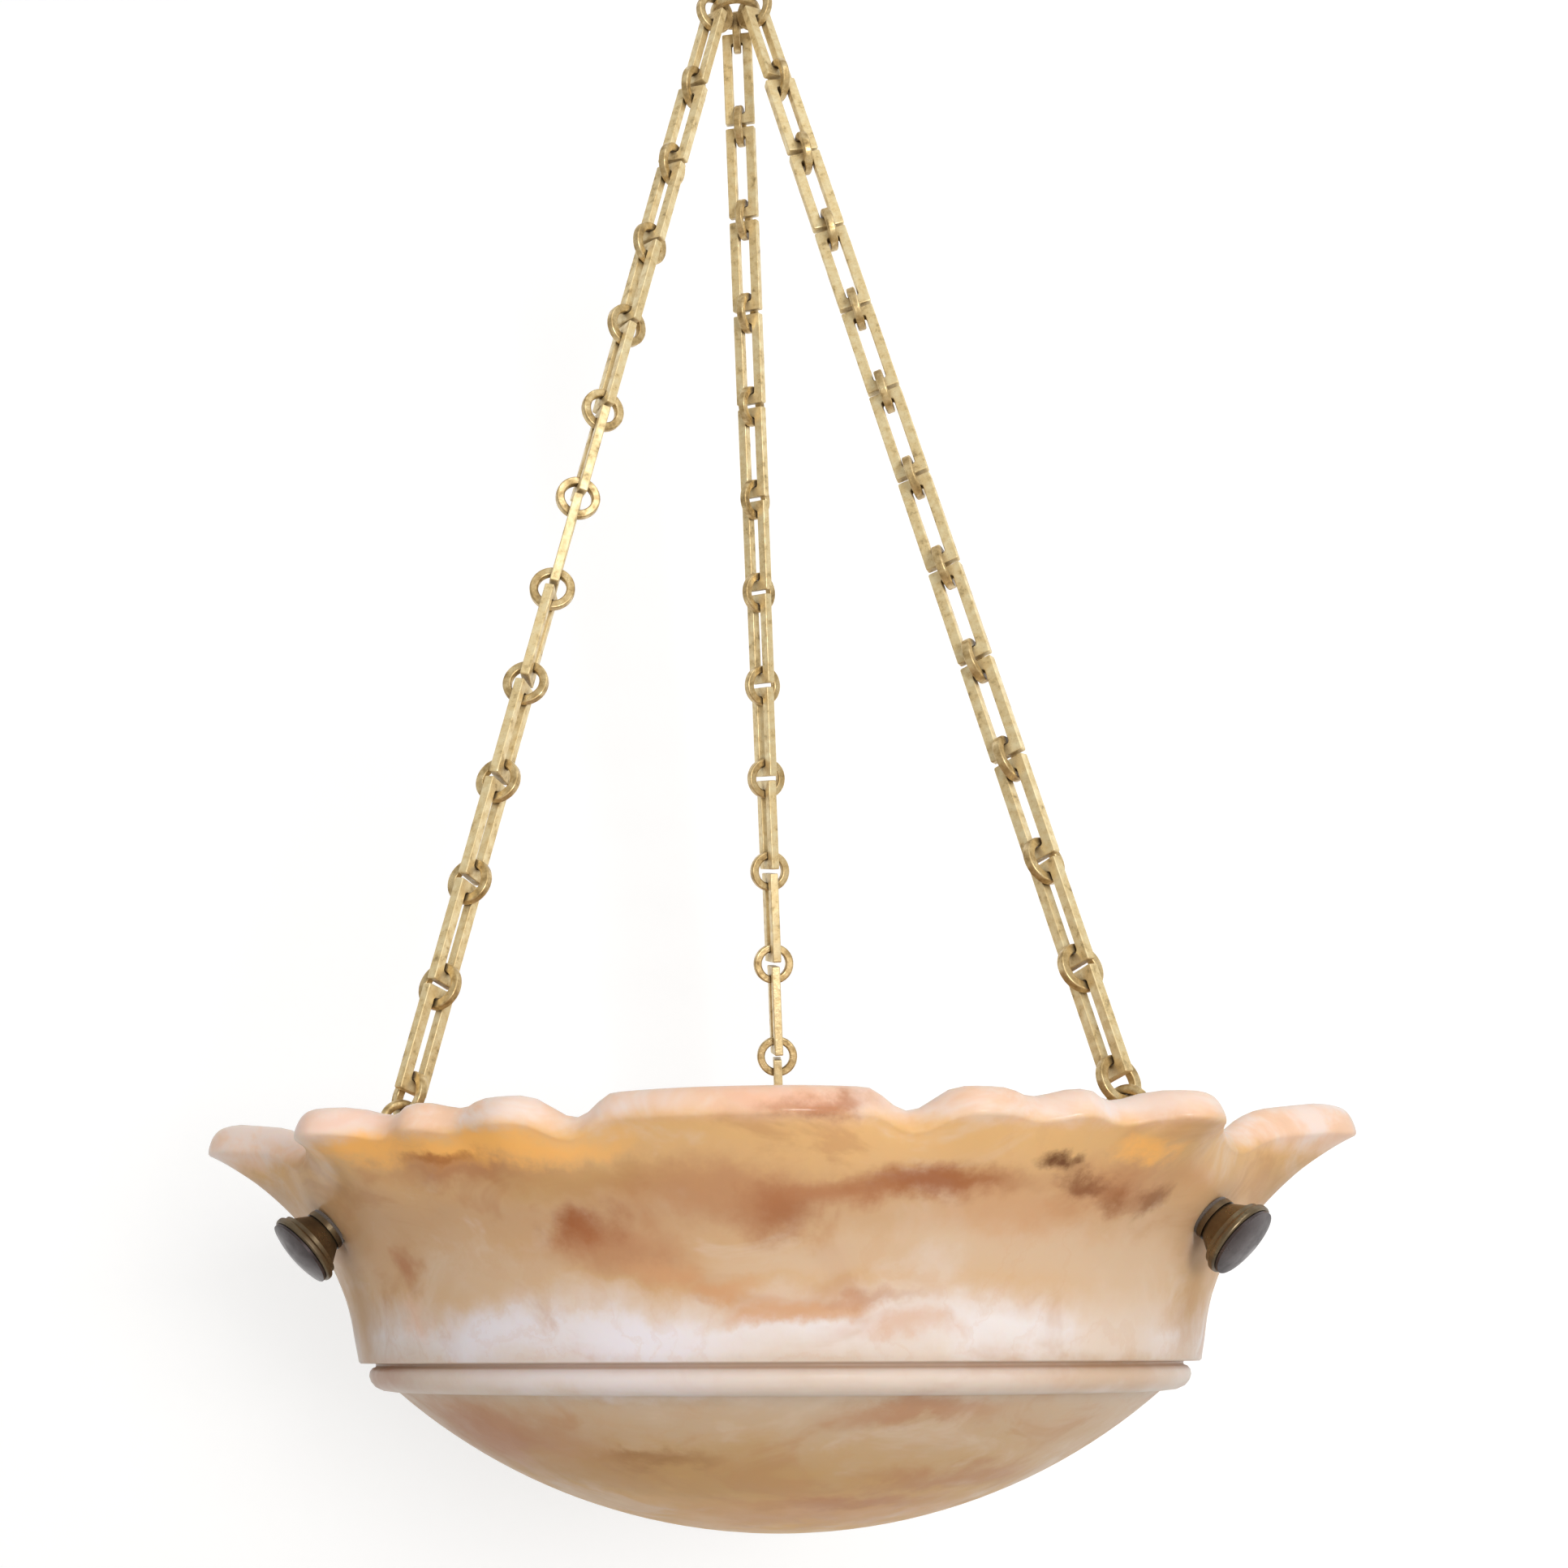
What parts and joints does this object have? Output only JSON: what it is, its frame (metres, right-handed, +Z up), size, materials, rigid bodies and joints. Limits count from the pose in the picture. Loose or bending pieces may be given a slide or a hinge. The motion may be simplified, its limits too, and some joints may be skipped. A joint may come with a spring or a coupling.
{
  "type": "bowl pendant lamp",
  "caption": "Pendant lamp: a lobed alabaster bowl on chains from a ceiling hook, with a lampholder on a bracket inside.",
  "frame": {"origin": "centre of the ceiling plate's top face", "axes": "+Z up, along the line the lamp hangs on; -Y is the bowl's front, between the left and right chains"},
  "size_m": [0.4048, 0.3851, 0.7157],
  "materials": {
    "gilt_brass": "pale antique gilt, mottled",
    "dark_bronze": "dark patinated bronze",
    "alabaster": "polished veined stone",
    "felt": "pressed felt",
    "brass": "plain turned brass",
    "steel": "zinc plated",
    "bakelite": "black moulded",
    "porcelain": "white glazed",
    "white_plastic": "white moulded",
    "nickel": "nickel plated",
    "opal_glass": "opal white"
  },
  "bodies": {
    "ceiling_fixing": {"ceiling_plate": "gilt_brass", "lock_nut": "gilt_brass", "ceiling_hook": "gilt_brass"},
    "gather": {"gather_ring": "gilt_brass"},
    "lamp": {"lamp_cap": "nickel", "lamp_tip": "brass", "lamp_collar": "white_plastic", "lamp_globe": "opal_glass"},
    "left_cap": {"left_boss_cap": "dark_bronze"},
    "right_cap": {"right_boss_cap": "dark_bronze"},
    "back_cap": {"back_boss_cap": "dark_bronze"},
    "bowl_and_chains": {"left_chain_rings": "gilt_brass", "left_chain_links": "gilt_brass", "left_hook_stud": "gilt_brass", "left_boss_bell": "dark_bronze", "left_bracket_arm": "brass", "right_chain_rings": "gilt_brass", "right_chain_links": "gilt_brass", "right_hook_stud": "gilt_brass", "right_boss_bell": "dark_bronze", "right_bracket_arm": "brass", "back_chain_rings": "gilt_brass", "back_chain_links": "gilt_brass", "back_hook_stud": "gilt_brass", "back_boss_bell": "dark_bronze", "back_bracket_arm": "brass", "chain_crown": "gilt_brass", "alabaster_bowl": "alabaster", "outer_felts": "felt", "inner_felts": "felt", "inner_washers": "brass", "stud_nuts": "brass", "arm_rivets": "brass", "bracket_hub": "brass", "holder_nipple": "brass", "nipple_nut": "brass", "cable_bush": "bakelite", "holder_cover": "bakelite", "holder_body": "bakelite", "skirt_ring": "bakelite", "holder_insulator": "porcelain", "terminal_screws": "steel", "thread_sleeve": "brass", "centre_contact": "brass"}
  },
  "joints": [
    {"name": "gather_ring_swing", "type": "hinge", "parent": "ceiling_fixing", "child": "gather", "pos_m": [0, 0, -0.052], "axis": [0, 1, 0], "range_deg": [-20, 20]},
    {"name": "bowl_swing", "type": "hinge", "parent": "gather", "child": "bowl_and_chains", "pos_m": [0, 0, -0.06605], "axis": [1, 0, 0], "range_deg": [-12, 12]},
    {"name": "lamp_screw", "type": "hinge", "parent": "bowl_and_chains", "child": "lamp", "pos_m": [0, 0, -0.62687], "axis": [0, 0, 1], "continuous": true},
    {"name": "left_cap_screw", "type": "hinge", "parent": "bowl_and_chains", "child": "left_cap", "pos_m": [-0.14549, -0.084, -0.61137], "axis": [-0.6436, -0.3716, -0.6691], "continuous": true},
    {"name": "right_cap_screw", "type": "hinge", "parent": "bowl_and_chains", "child": "right_cap", "pos_m": [0.14549, -0.084, -0.61137], "axis": [0.6436, -0.3716, -0.6691], "continuous": true},
    {"name": "back_cap_screw", "type": "hinge", "parent": "bowl_and_chains", "child": "back_cap", "pos_m": [0, 0.168, -0.61137], "axis": [0, 0.7431, -0.6691], "continuous": true}
  ]
}
